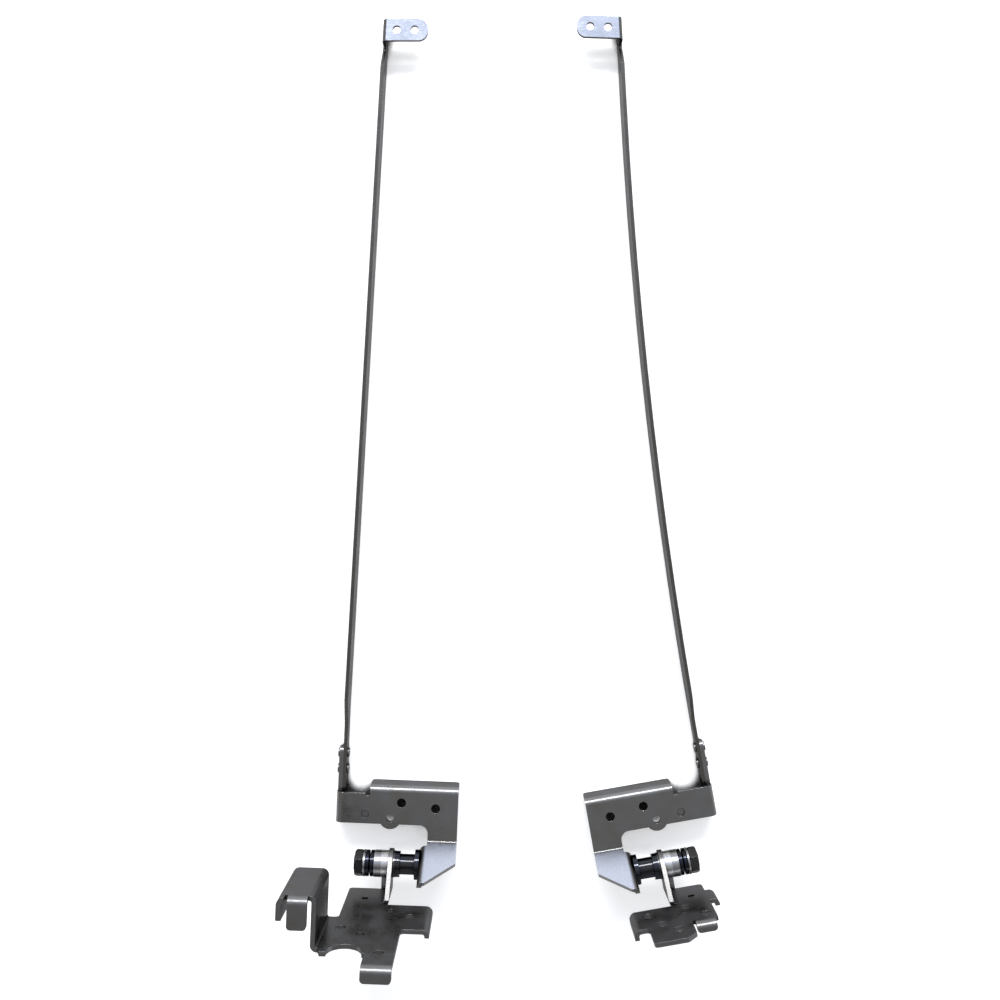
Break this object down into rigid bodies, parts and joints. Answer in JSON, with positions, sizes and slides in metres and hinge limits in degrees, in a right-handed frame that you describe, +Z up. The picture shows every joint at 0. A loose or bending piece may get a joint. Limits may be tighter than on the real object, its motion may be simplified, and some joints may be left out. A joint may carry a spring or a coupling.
{
  "type": "laptop hinge pair",
  "caption": "Left and right friction hinges of a laptop, each with a folded base bracket, a lid bracket and a long panel rail that ends in a two-hole ear.",
  "frame": {"origin": "on the table, under the middle of the box around the pair", "axes": "+Y up the rails, +X from the left hinge to the right one, +Z up from the table"},
  "size_m": [0.1172, 0.2546, 0.0588],
  "materials": {
    "base_sheet_steel": "dark nickel plate",
    "lid_sheet_steel": "dark nickel plate",
    "rail_steel": "plated, satin",
    "bright_steel": "bright",
    "shaft_steel": "blackened, oiled",
    "spring_steel": "blackened, oiled"
  },
  "bodies": {
    "bases": {"left_base_bracket": "base_sheet_steel", "left_stop_washer": "bright_steel", "right_base_bracket": "base_sheet_steel", "right_stop_washer": "bright_steel"},
    "left_lid": {"left_lid_bracket": "lid_sheet_steel", "left_rail": "rail_steel", "left_rail_rivets": "bright_steel", "left_hinge_shaft": "shaft_steel", "left_inner_washer": "bright_steel", "left_friction_washer": "bright_steel", "left_spring_disc_1": "spring_steel", "left_spring_disc_2": "spring_steel", "left_spring_disc_3": "spring_steel", "left_spring_disc_4": "spring_steel", "left_pressure_washer": "bright_steel", "left_lock_nut": "shaft_steel"},
    "right_lid": {"right_lid_bracket": "lid_sheet_steel", "right_rail": "rail_steel", "right_rail_rivets": "bright_steel", "right_hinge_shaft": "shaft_steel", "right_inner_washer": "bright_steel", "right_friction_washer": "bright_steel", "right_spring_disc_1": "spring_steel", "right_spring_disc_2": "spring_steel", "right_spring_disc_3": "spring_steel", "right_spring_disc_4": "spring_steel", "right_pressure_washer": "bright_steel", "right_lock_nut": "shaft_steel"}
  },
  "joints": [
    {"name": "left_hinge", "type": "hinge", "parent": "bases", "child": "left_lid", "pos_m": [-0.02655, -0.11453, 0.0096], "axis": [0.9993, -0.0384, 0], "range_deg": [-45, 90]},
    {"name": "right_hinge", "type": "hinge", "parent": "bases", "child": "right_lid", "pos_m": [0.03435, -0.11603, 0.0096], "axis": [0.9848, 0.1736, 0], "range_deg": [-45, 90]}
  ]
}
